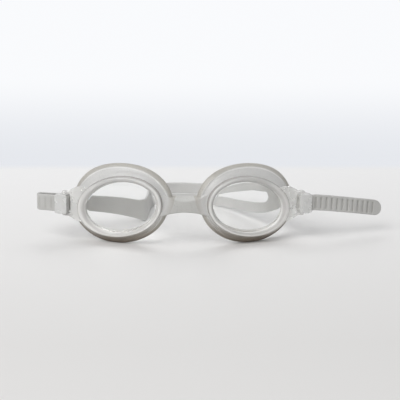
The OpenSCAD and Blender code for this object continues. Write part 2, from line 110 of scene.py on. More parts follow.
arm_t, clip_wall, clip_reach, sleeve_gap = 0.9, 1.1, 5.6, 1.0
clip_corner = 0.7
side_gap, strap_gap, seat_gap = 0.15, 0.25, 0.1
strap_h, strap_t, band_h, slit_gap = 10.3, 1.8, 7.0, 1.2
loop_depth = 83.3
tail_length, tail_bend, tail_droop, tail_lead = 57.5, 12.0, 9.0, 2.2
fold_reach, fold_rise, fold_r, fold_turn, stub_length = 15.2, 0.1, 2.2, 136.0, 2.5
climb_run = 6.0
tooth_pitch, groove_w, groove_d, rail_h = 3.8, 1.6, 0.6, 1.5
print("rim of a lens:", 2 * rim_a, "x", 2 * rim_b, "mm")

# %% [markdown]
# Other sizes are sums of these: the arms of a clip clear the strap, the ears of the lens clear the
# arms, and the strap lies one small gap off the pin. So they stay right when a size changes.

# %% Sizes that follow
eye_x = eye_spacing / 2
eye_z = lip_b - rest_flat
hinge_z = eye_z - hinge_drop
hinge_x = eye_x + hinge_u * math.cos(lens_yaw) - hinge_w * math.sin(lens_yaw)
hinge_y = hinge_u * math.sin(lens_yaw) + hinge_w * math.cos(lens_yaw)
arm_z = strap_h / 2 + side_gap
ear_z = arm_z + arm_t + side_gap
ear_top = ear_z + ear_t
ear_r = pin_r + knuckle_wall
wrap_r = pin_r + seat_gap + strap_t / 2
slot_half = strap_t / 2 + strap_gap
skirt_a, skirt_b = rim_a - skirt_inset, rim_b - skirt_inset
skirt_end = rim_back + skirt_length
window_w = rim_rise + window_step
rim_mid_a, rim_mid_b = (rim_a + window_a) / 2, (rim_b + window_b) / 2
print("from pin to pin:", round(2 * hinge_x, 1), "mm")

# %% [markdown]
# The plan has its origin between the eyes, and the finished part has its own on the table. Typing in
# the step from one to the other would be a second truth. The right hinge pin is in both, so the step
# is the difference between its two places.

# %% From the plan to the part
pin_low, pin_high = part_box("right_hinge_pin")
pin_middle = (pin_low + pin_high) / 2 / MM
shift = np.array([pin_middle.x - hinge_x, pin_middle.y - hinge_y, 0.0])
print("plan origin sits at", [round(v, 2) for v in shift], "mm")


def to_part(points):
    """Plan points in millimetres become part points in metres."""
    return (np.asarray(points, float) + shift) * MM


def eye_to_part(points, side):
    """Points of one eye, given as u, w, v, become part points in metres."""
    u, w, v = np.moveaxis(np.asarray(points, float), -1, 0)
    x = eye_x + u * math.cos(lens_yaw) - w * math.sin(lens_yaw)
    y = u * math.sin(lens_yaw) + w * math.cos(lens_yaw)
    return to_part(np.stack([side * x, y, eye_z + v], axis=-1))


def eye_places(items, what):
    """The eye's u, w and v of every point or face, and its height, in millimetres."""
    places = np.empty(len(items) * 3)
    items.foreach_get(what, places)
    x, y, z = (places.reshape(-1, 3) / MM - shift).T
    x = np.abs(x) - eye_x
    u = x * math.cos(lens_yaw) + y * math.sin(lens_yaw)
    w = y * math.cos(lens_yaw) - x * math.sin(lens_yaw)
    return u, w, z - eye_z, z


# %% [markdown]
# ## From rings to surfaces
# Almost every moulded piece here is a ring that changes as it travels: an ellipse that swells into a
# lip, or the cut face of the strap along its route. It could be modelled by hand or bent from a
# curve. A grid of rings is chosen, because each ring is one line of numbers, and it gives even quads
# that smooth shading likes. A modifier that rounds or joins is baked into the mesh at once.

# %% Ring meshes
def place_object(name, data):
    obj = bpy.data.objects.new(name, data)
    bpy.context.scene.collection.objects.link(obj)
    return obj


def full_turn(count):
    return np.linspace(0, 2 * math.pi, count, endpoint=False)


def make_object(name, points, faces):
    mesh = bpy.data.meshes.new(name)
    mesh.from_pydata([tuple(p) for p in points], [], faces)
    mesh.validate()
    work = bmesh.new()
    work.from_mesh(mesh)
    bmesh.ops.recalc_face_normals(work, faces=work.faces)
    work.to_mesh(mesh)
    work.free()
    mesh.shade_smooth()
    return place_object(name, mesh)


def ring_object(name, rings, closed_along=False, caps=(False, False)):
    """Quads between rings of points, with a cap on the first or the last ring."""
    rings = np.asarray(rings, float)
    count, around = rings.shape[:2]
    faces = []
    for k in range(count if closed_along else count - 1):
        for i in range(around):
            j, n = (i + 1) % around, (k + 1) % count
            faces.append((k * around + i, k * around + j, n * around + j, n * around + i))
    if caps[0]:
        faces.append(tuple(range(around - 1, -1, -1)))
    if caps[1]:
        faces.append(tuple((count - 1) * around + i for i in range(around)))
    return make_object(name, rings.reshape(-1, 3), faces)


def modify(obj, kind, **settings):
    """Sets a modifier and bakes it into the mesh."""
    modifier = obj.modifiers.new(kind, kind)
    for name, value in settings.items():
        setattr(modifier, name, value)
    bpy.context.view_layer.update()
    graph = bpy.context.evaluated_depsgraph_get()
    baked = bpy.data.meshes.new_from_object(obj.evaluated_get(graph))
    obj.modifiers.clear()
    obj.data = baked
    return obj


# %% [markdown]
# ## Finishes
# The frame and strap are soft silicone, and the lenses, clips and pins hard polycarbonate. Each
# finish is a Principled shader with plain numbers on its own sockets, and only what varies over the
# surface is linked. A few helpers keep the node trees short.

# %% Shader helpers
def feed(tree, node, values):
    """Sets inputs to numbers, or links them when an output is given."""
    for name, value in values.items():
        if isinstance(value, bpy.types.NodeSocket):
            tree.links.new(value, node.inputs[name])
        else:
            node.inputs[name].default_value = value


def add_node(tree, kind, values, out=0, **settings):
    node = tree.nodes.new("ShaderNode" + kind)
    for name, value in settings.items():
        setattr(node, name, value)
    feed(tree, node, values)
    return node.outputs[out]


def new_material(name):
    """A material, its tree, its shader and the place on the object."""
    material = bpy.data.materials.new(name)
    material.use_nodes = True
    tree = material.node_tree
    return material, tree, tree.nodes["Principled BSDF"], add_node(tree, "TexCoord", {}, "Object")


def noise(tree, place, scale, detail):
    return add_node(tree, "TexNoise", {"Scale": scale, "Detail": detail, "Vector": place}, "Fac")


def ramp(tree, fac, colours, low_at=0.35, high_at=0.65):
    """A value that runs through two or three colours."""
    node = tree.nodes.new("ShaderNodeValToRGB")
    tree.links.new(fac, node.inputs["Fac"])
    stops = node.color_ramp.elements
    for i, place in enumerate(np.linspace(low_at, high_at, len(colours))):
        stop = stops[i] if i < 2 else stops.new(place)
        stop.position, stop.color = place, (*colours[i], 1)
    return node.outputs["Color"]


def spread(tree, fac, low, high):
    """The middle of a noise, spread over two numbers."""
    return add_node(tree, "MapRange", {"From Min": 0.3, "From Max": 0.7, "To Min": low,
                                       "To Max": high, "Value": fac}, "Result")


def skin_bump(tree, height, strength, distance):
    return add_node(tree, "Bump", {"Strength": strength, "Distance": distance, "Height": height},
                    "Normal")


def mesh_share(tree, name):
    """A number between 0 and 1 that the mesh carries at each of its points."""
    return add_node(tree, "Attribute", {}, "Fac", attribute_name=name)


def dress(obj, material):
    obj.data.materials.clear()
    obj.data.materials.append(material)


# %% [markdown]
# Clear silicone lets light through, scatters it and has a soft sheen. The dense rolled lip is browner. The
# ridge before it carries a painted highlight, strongest toward the top, the lower half is painted darker as
# shade, with the rubber's warmer tint, and the foot has a painted brown contact shadow where it meets the
# table. Real scattering inside would be slow and noisy, so a part of the light passes and the rest is a
# plain colour. The mesh carries a share for each darker or brighter place, and the colour is multiplied by a
# tone there. The strap is the same rubber, greyer and duller, with painted shade in its grooves and on its
# unsplit part.

# %% Silicone
def silicone(name, dark, light, see_through, sheen, skin, tones):
    material, tree, shader, place = new_material(name)
    grain = noise(tree, place, 2200, 4)
    colour = ramp(tree, noise(tree, place, 90, 3), (dark, light))
    for share, tone in tones.items():
        colour = add_node(tree, "Mix", {"Factor": mesh_share(tree, share), "A": colour,
                                        "B": (*tone, 1)},
                          "Result", data_type="RGBA", blend_type="MULTIPLY")
    feed(tree, shader, {"Base Color": colour, "Roughness": spread(tree, grain, sheen, sheen + 0.12),
                        "IOR": 1.41, "Transmission Weight": see_through,
                        "Normal": skin_bump(tree, grain, skin, 0.00005)})
    return material


# ridge is a painted highlight, low is painted shade with a warmer tint, foot is a painted contact shadow;
# lip is the denser rubber's own colour, and nose makes the bridge side a little darker
frame_silicone = silicone(
    "frame silicone", (0.70, 0.695, 0.68), (0.73, 0.725, 0.71), 0.27, 0.26, 0.10,
    {"lip": (0.78, 0.755, 0.71), "ridge": (1.35, 1.35, 1.35), "foot": (0.42, 0.36, 0.30),
     "low": (0.68, 0.65, 0.61), "nose": (0.87, 0.87, 0.855)})
# the first share is painted shade in the grooves, the second painted shade on the strap outside the slit
strap_silicone = silicone(
    "strap silicone", (0.655, 0.65, 0.635), (0.695, 0.69, 0.675), 0.16, 0.34, 0.18,
    {"groove": (0.88, 0.88, 0.87), "painted_shade_unsplit": (0.88, 0.88, 0.87)})
print("silicones:", frame_silicone.name, "and", strap_silicone.name)

# %% [markdown]
# Polycarbonate is polished, with faint wipe marks and a slow flow in its skin from the mould. Only the
# windows are fully clear. Lugs, clips and pins are bulky and full of edges that scatter light. Clear glass
# would render them too dark, so they are partly a solid, milky colour. The rim gets painted bands from a
# tone the mesh carries: painted reflections of the white rubber behind it, and painted shade in the gap to
# the frame.

# %% Clear plastic
def clear_plastic(name, colours, polish, see_through):
    """One colour for an even plastic, or three for the bands of the rim."""
    material, tree, shader, place = new_material(name)
    base = (*colours[0], 1)
    if len(colours) > 1:
        base = ramp(tree, mesh_share(tree, "rim_tone"), colours, 0, 1)
    wipes, flow = noise(tree, place, 160, 5), noise(tree, place, 45, 1)
    feed(tree, shader, {"Base Color": base, "Roughness": spread(tree, wipes, *polish),
                        "IOR": 1.49, "Transmission Weight": see_through,
                        "Normal": skin_bump(tree, flow, 0.05, 0.0001)})
    return material


# Three tones for the rim's painted bands: painted shade in the gap, then the grey and the bright painted
# reflections of the rubber.
RIM_BANDS = [(0.40, 0.38, 0.36), (0.66, 0.65, 0.635), (0.97, 0.965, 0.94)]
lens_plastic = clear_plastic("lens plastic", [(0.995, 1.0, 0.995)], (0.0, 0.05), 1.0)
lug_plastic = clear_plastic("lug plastic", [(0.85, 0.85, 0.835)], (0.24, 0.29), 0.50)
temple_plastic = clear_plastic("temple plastic", [(0.84, 0.84, 0.825)], (0.24, 0.29), 0.32)
pin_plastic = clear_plastic("pin plastic", [(0.86, 0.86, 0.85)], (0.12, 0.17), 0.4)
rim_milky = clear_plastic("rim plastic", RIM_BANDS, (0.08, 0.14), 0.30)
print("finishes:", [m.name for m in bpy.data.materials])

# %% [markdown]
# ## The silicone frame
# An eye cup is one ring of rubber. It sweeps out from the seat round the lens to a raised ridge,
# steps down to the sealing lip, rolls over and comes back inside. It leans less than the lens, has a
# wing under the lug, and is cut a little flat below, where it stands. Sculpting could give this
# shape once. A list of rings gives it twice, alike, and keeps the lean and the roll as numbers. The
# seat is squeezed a tenth of a millimetre into the lens, because soft rubber on clear plastic leaves
# no air.

# %% Eye cup
CUP_SIDES = 160
SQUEEZE = 0.12
cup_front = rim_back - SQUEEZE


def cup_sections():
    """Half width, half height, depth, shift, wrap, wing, lean, fullness and nose of each ring."""
    seat_a, seat_b = skirt_a - SQUEEZE, skirt_b - SQUEEZE
    pocket = skirt_end + 0.4
    run = lip_depth - cup_front
    ridge_back = 0.62
    ridge_w = (ridge_back - 1) * run

    def seat(a, b, depth, wing=0):
        return a, b, depth, 0, 0, wing, lens_skew, 0, 0

    def lean(share):
        return lens_skew + share * (lip_skew - lens_skew)

    def wall(part, back, share, wing):
        return (rim_a + part * (lip_a - ridge_inset - rim_a),
                rim_b + part * (lip_b - ridge_inset - rim_b),
                cup_front + back * run, share * lip_shift, 0.75 * share * lip_wrap,
                wing_reach * wing, lean(share), share * lip_fullness, share * lip_nose)

    def lip(inset, back, lower=0.0):
        return (lip_a - inset, lip_b - inset - lower, lip_depth + back,
                lip_shift, lip_wrap, 0, lip_skew, lip_fullness, lip_nose)

    return [
        seat(seat_a, seat_b, cup_front),
        seat(rim_a - 0.9, rim_b - 0.9, cup_front, wing_reach),
        seat(rim_a - 0.45, rim_b - 0.4, cup_front + 0.1, wing_reach),
        seat(rim_a - 0.25, rim_b - 0.2, cup_front + 0.5, wing_reach),
        wall(0.2, 0.17, 0.1, 1), wall(0.4, 0.27, 0.28, 0.75), wall(0.6, 0.42, 0.5, 1 / 2),
        wall(0.80, 0.52, 0.72, 1 / 3), wall(0.94, ridge_back - 0.04, 0.86, 1 / 4),
        lip(ridge_inset + 0.10, ridge_w - 0.10), lip(ridge_inset - 0.25, ridge_w + 0.02),
        lip(ridge_inset - 0.38, ridge_w + 0.5 * ridge_step),
        lip(ridge_inset - 0.60, ridge_w + ridge_step),
        lip(1.0, 0.5 * (ridge_w + ridge_step) - 0.55), lip(0.5, -0.9), lip(0.12, -0.35),
        lip(0, 0.1), lip(0, lip_land), lip(0.5, lip_land + 0.6, 0.1),
        lip(1.6, lip_land + 1.0, 0.1), lip(3.0, lip_land + 0.6, 0.1),
        (lip_a - 4.0, lip_b - 4.3, lip_depth, 0.9 * lip_shift, 0.7 * lip_wrap, 0, lean(0.8),
         0.8 * lip_fullness, 0.9 * lip_nose),
        (seat_a + 0.5, seat_b + 1.6, pocket + 0.5, 0.3 * lip_shift, 0.1 * lip_wrap, 0, lean(0.2),
         0.2 * lip_fullness, 0.2 * lip_nose),
        seat(seat_a, seat_b, pocket)]


def cup_ring(section):
    a, b, depth, sideways, wrap, wing, skew, fullness, nose = section
    turn = full_turn(CUP_SIDES)
    cos, sin = np.cos(turn), np.sin(turn)
    u = a * cos + sideways + wing * np.maximum(0, cos) ** 6 - skew * b * sin
    u -= nose * np.maximum(0, -cos) ** 4 * np.clip(0.5 + 2.5 * sin, 0, 1)
    v = b * (sin + fullness * np.maximum(0, sin) * cos ** 2)
    return np.stack([u, depth + wrap * cos, np.maximum(v, -eye_z)], axis=-1)


def cup(side):
    rings = eye_to_part([cup_ring(s) for s in cup_sections()], side)
    obj = ring_object("cup", rings, closed_along=True)
    return modify(obj, "SUBSURF", levels=1, render_levels=1)


print("an eye cup has", len(cup_sections()), "rings of", CUP_SIDES, "points")

# %% [markdown]
# The bridge is a short bar between the cups. Its front is flat, its hollow top slopes toward the
# face, and it ends in soft webs that arch over the nose. A box with a bevel would meet the cups at
# hard corners, so a row of cut faces is used, which grows taller and thinner toward each cup.

# %% Nose bridge
def bridge_cut(k):
    """The cut face at k, from -1 at the left cup to 1 at the right cup, in y and z."""
    edge, grow = 0.8, k * k
    face = -rim_a * math.sin(lens_yaw) + cup_front * math.cos(lens_yaw)
    front = face - bridge_proud + bridge_hollow * grow
    back = face - bridge_proud + bridge_d - bridge_hollow * grow
    middle = eye_z + bridge_lift
    low = middle - bridge_h / 2 - bridge_arch * grow
    high = middle + bridge_h / 2 + bridge_flare * grow
    high_back = middle + bridge_h / 2 + bridge_slope + grow
    dip = 0.25 * (1 - grow)
    outline = [
        (front, low + edge), (front + 0.3 * edge, low + 0.3 * edge), (front + edge, low),
        (back - edge, low + bridge_slope), (back, low + bridge_slope + edge),
        (back, high_back - edge), (back - 0.3 * edge, high_back - 0.3 * edge),
        (back - edge, high_back), ((front + back) / 2, (high + high_back) / 2 - dip),
        (front + edge, high), (front + 0.3 * edge, high - 0.25 * edge), (front, high - edge)]
    return outline, face


def bridge():
    reach = eye_x - (rim_a - 1.5) * math.cos(lens_yaw) - cup_front * math.sin(lens_yaw)
    rings = []
    for k in np.linspace(-1, 1, 41):
        outline, face = bridge_cut(k)
        rings.append([(k * (reach - (y - face) * math.tan(lens_yaw)), y, z) for y, z in outline])
    return ring_object("bridge", to_part(rings), caps=(True, True))


print("a cut through the bridge has", len(bridge_cut(0)[0]), "points")

# %% [markdown]
# Cups and bridge are one moulding, with soft hollows where they meet. A union would leave sharp
# seams there. A voxel remesh melts the closed shapes into one skin, and some smoothing gives the
# hollows the radius of the mould.

# %% One moulding
VOXEL = 0.00026


def join(name, parts):
    work = bmesh.new()
    for part in parts:
        work.from_mesh(part.data)
        bpy.data.objects.remove(part)
    mesh = bpy.data.meshes.new(name)
    work.to_mesh(mesh)
    work.free()
    mesh.shade_smooth()
    return place_object(name, mesh)


frame_skin = join("frame_moulding", [cup(1), cup(-1), bridge()])
modify(frame_skin, "REMESH", mode="VOXEL", voxel_size=VOXEL)
modify(frame_skin, "SMOOTH", factor=0.5, iterations=5)
frame_skin.data.shade_smooth()
print("frame moulding:", len(frame_skin.data.polygons), "faces")

# %% [markdown]
# How far inside the edge of the lip a point lies tells whether it is lip, ridge or plain wall; the ridge
# gets a painted highlight, strongest toward the top. Its height gives the painted shade of the lower half
# and the painted contact shadow at the foot, and its side the bridge. Painting these by hand would be lost
# at every change of size, so each share is worked out and stored on the mesh.

# %% Tones of the rubber, with painted highlight and painted shade
# Heights up to which the painted contact shadow and the painted shade of the lower half reach
FOOT_TOP, FOOT_FADE = 15, 13
LOW_TOP, LOW_FADE = 22, 14


def write_share(obj, name, share):
    layer = obj.data.attributes.new(name, "FLOAT", "POINT")
    layer.data.foreach_set("value", np.clip(share, 0, 1).astype(np.float32))


def mark_rubber(obj):
    """Shares for the dense lip, the painted highlight on the ridge, the painted shade of the lower half, the
    painted contact shadow at the foot, and the bridge.
    """
    u, w, v, z = eye_places(obj.data.vertices, "co")
    sin = np.clip(v / lip_b, -1, 1)
    nose = lip_nose * np.clip(-(u - lip_shift) / lip_a, 0, 1) ** 4 * np.clip(0.5 + 2.5 * sin, 0, 1)
    u = u - lip_shift + lip_skew * v + nose
    full = 1 + lip_fullness * np.clip(sin, 0, 1) * (u / lip_a) ** 2
    around = np.hypot(u / lip_a, v / (lip_b * full))
    inset = (1 - around) * (lip_a + lip_b) / 2
    outer_side = np.clip((w - cup_front - 1.0) / 1.0, 0, 1) * (around < 1.04)
    write_share(obj, "lip", np.clip((ridge_inset - 0.2 - inset) / 0.4, 0, 1) * outer_side)
    # painted highlight along the ridge, strongest toward the top
    crest = np.clip(1 - np.abs(inset - ridge_inset - 0.15) / 0.42, 0, 1)
    write_share(obj, "ridge", crest * outer_side * np.clip((v - 6) / 10, 0.1, 1))
    # painted contact shadow near the table
    write_share(obj, "foot", np.clip((FOOT_TOP - z) / FOOT_FADE, 0, 1) ** 1.3)
    # painted shade over the lower half
    write_share(obj, "low", np.clip((LOW_TOP - z) / LOW_FADE, 0, 1))
    cup_side = np.hypot((u - 0.5 * lip_shift) / lip_a, v / lip_b)
    write_share(obj, "nose", np.clip((cup_side - 0.98) / 0.12, 0, 1) * (u < 0))


mark_rubber(frame_skin)
dress(frame_skin, frame_silicone)
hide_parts("silicone_frame")
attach(frame_skin, "goggles")
print("shares on the frame:", [a.name for a in frame_skin.data.attributes if a.data_type == "FLOAT"])

# %% [markdown]
# ## The lenses
# A lens is a shallow dish turned round: a slightly domed window, a thick rounded rim proud of the
# frame, and a skirt behind it that the frame grips. Window and rim could be two pieces, but light
# would then show the joint. One profile runs from the middle of the front over the rim to the middle
# of the back, so light bends in it as in one solid piece.

# %% Lens profile
LENS_SIDES = 144


def lens_profile():
    """Half width, half height, depth and sideways shift of each ring."""
    s = -window_shift
    half_a, half_b = (rim_a - window_a) / 2, (rim_b - window_b) / 2
    back_a, back_b = skirt_a - skirt_wall, skirt_b - skirt_wall
    soft = 0.25
    back_w = window_w + window_t
    rings = []
    for k in [0.06, 0.15, 0.3, 0.45, 0.6, 0.72, 0.83, 0.91, 0.97]:
        rings.append((k * window_a, k * window_b, window_w - window_dome * (1 - k * k), s))
    for turn in np.radians(np.arange(0, 181, 12)):
        rings.append((rim_mid_a - half_a * math.cos(turn), rim_mid_b - half_b * math.cos(turn),
                      rim_rise * (1 - math.sin(turn)), s * (1 + math.cos(turn)) / 2))
    rings += [
        (rim_a, rim_b, rim_back - soft, 0),
        (rim_a - 0.3 * soft, rim_b - 0.3 * soft, rim_back - 0.3 * soft, 0),
        (rim_a - soft, rim_b - soft, rim_back, 0),
        (skirt_a + soft, skirt_b + soft, rim_back, 0),
        (skirt_a, skirt_b, rim_back + soft, 0),
        (skirt_a, skirt_b, skirt_end - soft, 0),
        (skirt_a - soft, skirt_b - soft, skirt_end, 0),
        (back_a + soft, back_b + soft, skirt_end, 0),
        (back_a, back_b, skirt_end - soft, 0),
        (back_a, back_b, back_w + 0.5, 0),
        (back_a - 0.15, back_b - 0.15, back_w + 0.12, 0),
        (back_a - 0.6, back_b - 0.6, back_w - 0.05, 0)]
    for k in [0.9, 0.8, 0.68, 0.55, 0.4, 0.25, 0.12, 0.05]:
        rings.append((k * back_a, k * back_b, back_w - window_dome * (1 - k * k), s * (1 - k ** 4)))
    return rings


def lens_shell(side):
    turn = full_turn(LENS_SIDES)
    rings = [np.stack([a * np.cos(turn) + sideways - lens_skew * b * np.sin(turn),
                       np.full_like(turn, depth), b * np.sin(turn)], axis=-1)
             for a, b, depth, sideways in lens_profile()]
    return ring_object("shell", eye_to_part(rings, side), caps=(True, True))


print("a lens has", len(lens_profile()), "rings of", LENS_SIDES, "points")

# %% [markdown]
# At the temple a flat lug grows out of the rim and ends in two ears that hold the hinge pin. Lug,
# ears and clips are flat plates cut to an outline. Each gets its depth first and then a bevel round
# its edges, because a sharp edge on clear plastic shows no highlight.

# %% Plates with rounded edges
def plate(name, outline, thickness_at, direction, side, bevel):
    """A flat outline given in two of an eye's directions, with depth along the third."""
    points = [(p[0], t, p[1]) if direction == "w" else (p[0], p[1], t)
              for t in thickness_at for p in outline]
    n = len(outline)
    faces = [tuple(range(n)), tuple(range(2 * n - 1, n - 1, -1))]
    faces += [(i, i + n, (i + 1) % n + n, (i + 1) % n) for i in range(n)]
    obj = make_object(name, eye_to_part(points, side), faces)
    return modify(obj, "BEVEL", width=bevel * MM, segments=3, limit_method="ANGLE",
                  angle_limit=math.radians(50))


def plate_pair(outline, inner, thickness, side, bevel):
    """Two equal plates, above and below the strap."""
    return [plate("arm", outline, (z - hinge_drop, z - hinge_drop + thickness), "v", side, bevel)
            for z in (inner, -inner - thickness)]


def arc(middle, radius, start, end, count):
    turns = np.radians(np.linspace(start, end, count))
    return [(middle[0] + radius * math.cos(t), middle[1] + radius * math.sin(t)) for t in turns]


# %% [markdown]
# The lug is broad at the rim, hollowed toward the ears, and open where the strap turns round the
# pin. Its outline runs along the top, round the notch and back along the bottom.

# %% Outlines of the lug and its ears
def lug_outline():
    lean = lens_skew * lug_half_h
    low, high = -lug_half_h - hinge_drop / 2, lug_half_h - hinge_drop / 2
    ear_high, ear_low = ear_top - hinge_drop, -ear_top - hinge_drop
    plate_end = hinge_u - wrap_r - strap_t / 2 - 0.6
    far = hinge_u - 1.5
    upper = [(0.79 * rim_a - lean, high - 0.4), (24.0, high - 0.1), (26.8, high - 0.2),
             (28.8, high - 0.9), (30.8, high - 2.0), (32.8, ear_high + 0.5), (far, ear_high)]
    lower = [(0.79 * rim_a + lean, low + 0.4), (25.5, low + 0.1), (27.4, low + 0.3),
             (29.2, low + 1.1), (31.0, low + 2.2), (32.8, ear_low - 0.5), (far, ear_low)]
    notch_high, notch_low = ear_z - hinge_drop, -ear_z - hinge_drop
    notch = [(far, notch_high), (plate_end + 0.8, notch_high), (plate_end, notch_high - 0.8),
             (plate_end, notch_low + 0.8), (plate_end + 0.8, notch_low), (far, notch_low)]
    return upper + notch + lower[::-1]


def ear_outline():
    root, neck = hinge_u - 5, ear_r - 0.6
    low, high = hinge_w - neck, hinge_w + neck
    return [(root, low), (hinge_u, low), (hinge_u, high), (root, high)]


print("the lug's outline has", len(lug_outline()), "corners")

# %% [markdown]
# The pin, its hole and the round end of an ear are turned round the hinge's axis. The manifold
# solver joins them to the rest, because it gives a closed mesh even where two faces nearly lie in
# one plane. Edges over a chosen angle stay sharp in the shading.

# %% Turned bodies and unions
def unite(target, others, operation="UNION"):
    for other in others:
        modify(target, "BOOLEAN", operation=operation, solver="MANIFOLD", object=other)
        bpy.data.objects.remove(other)
    return target


def turned(name, profile, side):
    """A body turned round the hinge's axis from pairs of radius and height."""
    turn = full_turn(48)
    rings = [np.stack([hinge_u + r * np.cos(turn), hinge_w + r * np.sin(turn),
                       np.full_like(turn, z - hinge_drop)], axis=-1) for r, z in profile]
    return ring_object(name, eye_to_part(rings, side), caps=(True, True))


def pin_shape(name, radius, half_height, round_r, side):
    """A rod with rounded ends."""
    flat_r, flat_h = radius - round_r, half_height - round_r
    steps = [(flat_r + round_r * math.sin(t), flat_h + round_r * math.cos(t))
             for t in np.radians(np.linspace(0, 90, 6))]
    return turned(name, steps + [(r, -z) for r, z in steps[::-1]], side)


def bore(side):
    return pin_shape("bore", pin_r + pin_fit, 2 * ear_top, 0.01, side)


def knuckle(end, side):
    """The round end of one ear, which tapers away from the clip."""
    inner, outer = ear_z, ear_top
    profile = [(ear_r - 0.15, inner), (ear_r, inner + 0.15), (ear_r - 0.55, outer - 0.25),
               (ear_r - 0.65, outer - 0.08), (ear_r - 0.85, outer)]
    return turned("knuckle", [(r, end * z) for r, z in profile], side)


def shade_by_angle(obj, degrees):
    """Smooth shading that keeps edges sharper than an angle."""
    obj.data.shade_smooth()
    obj.data.set_sharp_from_angle(angle=math.radians(degrees))


# %% [markdown]
# The window is clear from front to back, the lug is slightly milky, and the rim between them shows a light
# line, a grey band, a bright band that fades toward the top, and a dark outer line. The bands are painted
# reflections of the rubber behind the rim, and the dark outer line is painted shade in the gap to the frame;
# rays alone give them only with a perfect model of the real rim. A share across the rim and a glow round it
# paint them instead.

# %% Clear window, milky rim with painted bands
# The rim's tone is painted light: LIGHT_THEN_GREY and BRIGHT_BAND paint reflections of the rubber,
# GLOW_ROUND fades the bright band toward the top, and DARK_LINE paints shade in the gap to the frame.
WINDOW, LUG, RIM = 0, 1, 2
GLOW_ROUND = ([0, 40, 60, 100, 135, 300, 330, 360], [0.6, 0.6, 0.1, 0.25, 0.9, 1.0, 0.7, 0.6])
LIGHT_THEN_GREY = ([0, 0.07, 0.14, 0.46, 1], [0.85, 0.8, 0.42, 0.46, 0.46])
BRIGHT_BAND = ([0.42, 0.56, 0.84, 0.93], [0, 1, 0.9, 0])
DARK_LINE = ([0.88, 0.97], [0, 0.38])


def finish_lens(obj):
    """Gives the window, the rim and the lug their plastics, and the rim its painted bands of reflection and
    shade.
    """
    dress(obj, lens_plastic)
    obj.data.materials.append(lug_plastic)
    obj.data.materials.append(rim_milky)
    u, w, v, _ = eye_places(obj.data.vertices, "co")
    lean = u + lens_skew * v
    inner = np.hypot((lean + window_shift) / window_a, v / window_b) - 1
    outer = 1 - np.hypot(lean / rim_a, v / rim_b)
    across = np.clip(inner / np.maximum(inner + outer, 1e-6), 0, 1)
    turn = np.degrees(np.arctan2(v / rim_b, lean / rim_a)) % 360
    tone = np.interp(across, *LIGHT_THEN_GREY) - np.interp(across, *DARK_LINE)
    tone += 0.5 * np.interp(turn, *GLOW_ROUND) * np.interp(across, *BRIGHT_BAND)
    tone = np.where((inner > 0) & (outer > -0.02) & (w < rim_back + 0.1), tone, 0.5)
    write_share(obj, "rim_tone", tone)
    u, w, v, _ = eye_places(obj.data.polygons, "center")
    lean = u + lens_skew * v
    back_a, back_b = skirt_a - skirt_wall, skirt_b - skirt_wall
    beside = np.hypot(lean / (rim_a + 0.05), v / (rim_b + 0.05)) > 1
    in_window = np.hypot((lean + window_shift) / window_a, v / window_b) < 0.99
    in_skirt = np.hypot(lean / back_a, v / back_b) < 0.97
    near_back = np.abs(w - window_w - window_t + window_dome / 2) < window_dome / 2 + 0.02
    kind = np.where((in_window & (w < window_w + 0.5)) | (in_skirt & near_back), WINDOW, RIM)
    kind = np.where(beside & (w > rim_back - lug_t - 0.6), LUG, kind)
    obj.data.polygons.foreach_set("material_index", kind.astype(np.int32))
    obj.data.update()


# %% [markdown]
# The lug and the ears are joined to the shell, and the hole for the pin is bored through them. The
# lens casts no shadow, since clear plastic lets nearly all light through, and the shadow that would
# be rendered for it is much too dark.

# %% Both lenses
def lens(side, word):
    obj = lens_shell(side)
    obj.name = word + "_lens_moulding"
    ears = plate_pair(ear_outline(), ear_z, ear_t, side, 0.2)
    lug = plate("lug", lug_outline(), (rim_back - lug_t, rim_back), "w", side, 0.3)
    unite(obj, [lug] + ears + [knuckle(end, side) for end in (1, -1)])
    unite(obj, [bore(side)], "DIFFERENCE")
    shade_by_angle(obj, 32)
    finish_lens(obj)
    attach(obj, "goggles")
    obj.visible_shadow = False
    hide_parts(word + "_lens")
    print(obj.name, "has", len(obj.data.polygons), "faces")


for side, word in ((1, "right"), (-1, "left")):
    lens(side, word)

# %% [markdown]
# ## Hinge pins and clips
# The pin is a plain rod with rounded ends, pressed into both ears. It is turned from a short
# profile, the quickest way to a round body with a clean edge.

# %% Pins
for side, word in ((1, "right"), (-1, "left")):
    pin = pin_shape(word + "_pin_rod", pin_r, ear_top, 0.3, side)
    shade_by_angle(pin, 60)
    dress(pin, pin_plastic)
    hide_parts(word + "_hinge_pin")
    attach(pin, "goggles")
    print(pin.name, "has", len(pin.data.polygons), "faces")

# %% [markdown]
# The clip is a short sleeve for the strap: an arm above and below turns on the pin, and a wall in
# front of and behind the strap joins them. A box hollowed out would have the same edge everywhere.
# Four bevelled plates give each edge its own radius, and a wedge takes the corners off. The left
# clip is the right one's mirror image, so both are surely alike.

# %% Clips
def clip_arm_outline():
    """One arm in u and w: round at the pin, square at its open end."""
    low = hinge_w - wrap_r - slot_half - clip_wall
    high = hinge_w - wrap_r + slot_half + clip_wall
    tip, soft = hinge_u + clip_reach, 0.3 * clip_corner
    return (arc((hinge_u, hinge_w), ear_r, 90, 262, 19)
            + [(hinge_u, low), (tip - clip_corner, low), (tip - soft, low + soft),
               (tip, low + clip_corner), (tip, high - clip_corner), (tip - soft, high - soft),
               (tip - clip_corner, high), (hinge_u + 2.2, high), (hinge_u + 1.2, hinge_w + 2.0)])


def clip_wall_outline(start):
    """One wall in u and v, its height falling off toward the open end."""
    end, half_h = hinge_u + clip_reach, arm_z + arm_t - 0.02
    upper = [(start, half_h - 1.6), (start + 0.25, half_h - 0.5), (start + 0.8, half_h),
             (end - 3 * clip_corner, half_h), (end, half_h - clip_corner)]
    return [(u, v - hinge_drop) for u, v in upper + [(u, -v) for u, v in upper[::-1]]]


